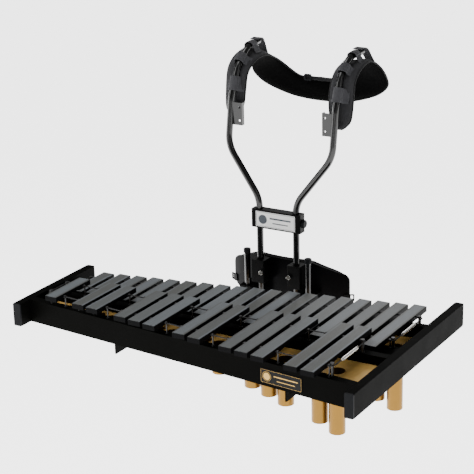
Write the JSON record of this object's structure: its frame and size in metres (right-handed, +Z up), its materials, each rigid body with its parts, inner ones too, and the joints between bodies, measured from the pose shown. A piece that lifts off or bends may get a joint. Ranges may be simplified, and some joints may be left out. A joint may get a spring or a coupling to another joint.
{
  "type": "marching xylophone",
  "caption": "Marching xylophone with two rows of bars over tuned gold resonator tubes, on hooked rods of a tubular shoulder carrier with a belly plate and padded yoke.",
  "frame": {"origin": "middle of the belly pad, on the curved face that rests against the player", "axes": "X along the keyboard towards the low notes, +Y towards the player, Z up"},
  "size_m": [0.976, 0.7956, 0.7863],
  "materials": {
    "bar_fibreglass": "matte",
    "cord_nylon": "matte",
    "spring_steel": "bright",
    "post_plastic": "satin",
    "frame_black": "black satin powder coat",
    "cap_plastic": "satin",
    "resonator_gold": "matte gold",
    "badge_black": "satin",
    "label_silver": "satin",
    "plate_gloss": "gloss",
    "pad_foam": "matte",
    "bolt_steel": "bright",
    "carrier_gloss": "gloss",
    "webbing": "matte",
    "pad_nylon": "matte"
  },
  "bodies": {
    "carrier": {"belly_plate": "plate_gloss", "belly_pad": "pad_foam", "plate_screws": "bolt_steel", "socket_bolts": "bolt_steel", "clamp_bolts": "bolt_steel", "strap_tabs": "carrier_gloss", "tube_sockets": "carrier_gloss", "rod_clamps": "carrier_gloss"},
    "shoulder_frame": {"left_shoulder_tube": "carrier_gloss", "right_shoulder_tube": "carrier_gloss", "crossbar": "carrier_gloss", "crossbar_label": "label_silver", "accessory_brackets": "carrier_gloss", "pad_loops": "webbing", "shoulder_pad": "pad_nylon"},
    "knob": {"crossbar_knob": "cap_plastic"},
    "left_rod": {"left_j_rod": "carrier_gloss", "left_j_rod_cap": "cap_plastic"},
    "right_rod": {"right_j_rod": "carrier_gloss", "right_j_rod_cap": "cap_plastic"},
    "instrument": {"natural_bars_1": "bar_fibreglass", "natural_bars_2": "bar_fibreglass", "natural_bars_3": "bar_fibreglass", "natural_bars_4": "bar_fibreglass", "natural_bars_5": "bar_fibreglass", "natural_bars_6": "bar_fibreglass", "accidental_bars_1": "bar_fibreglass", "accidental_bars_2": "bar_fibreglass", "accidental_bars_3": "bar_fibreglass", "accidental_bars_4": "bar_fibreglass", "accidental_bars_5": "bar_fibreglass", "accidental_bars_6": "bar_fibreglass", "natural_cord": "cord_nylon", "accidental_cord": "cord_nylon", "natural_spring": "spring_steel", "accidental_spring": "spring_steel", "natural_front_posts": "post_plastic", "natural_rear_posts": "post_plastic", "accidental_front_posts": "post_plastic", "accidental_rear_posts": "post_plastic", "left_end_board": "frame_black", "right_end_board": "frame_black", "front_rail": "frame_black", "centre_accidental_rail": "frame_black", "centre_natural_rail": "frame_black", "rear_rail": "frame_black", "centre_deck": "frame_black", "cross_braces": "frame_black", "corner_gussets": "frame_black", "resonator_hangers": "frame_black", "hook_receivers": "frame_black", "end_board_caps": "cap_plastic", "natural_resonator_plate": "resonator_gold", "natural_resonator_tubes": "resonator_gold", "natural_resonator_stops": "resonator_gold", "accidental_resonator_plate": "resonator_gold", "accidental_resonator_tubes": "resonator_gold", "accidental_resonator_stops": "resonator_gold", "front_badge": "badge_black"}
  },
  "joints": [
    {"name": "shoulder_height", "type": "slide", "parent": "carrier", "child": "shoulder_frame", "axis": [0, 0, 1], "range_m": [-0.03, 0.04]},
    {"name": "knob_turn", "type": "hinge", "parent": "shoulder_frame", "child": "knob", "pos_m": [0.07, -0.032, 0.161], "axis": [1, 0, 0], "continuous": true},
    {"name": "rod_height", "type": "slide", "parent": "carrier", "child": "left_rod", "axis": [0, 0, 1], "range_m": [-0.03, 0.025]},
    {"name": "right_rod_height", "type": "slide", "parent": "carrier", "child": "right_rod", "axis": [0, 0, 1], "range_m": [-0.03, 0.025]},
    {"name": "keyboard_lift", "type": "slide", "parent": "left_rod", "child": "instrument", "axis": [0, 0, 1], "range_m": [0, 0.04]}
  ],
  "couplings": [
    {"joint": "right_rod_height", "follows": "rod_height", "ratio": 1}
  ]
}
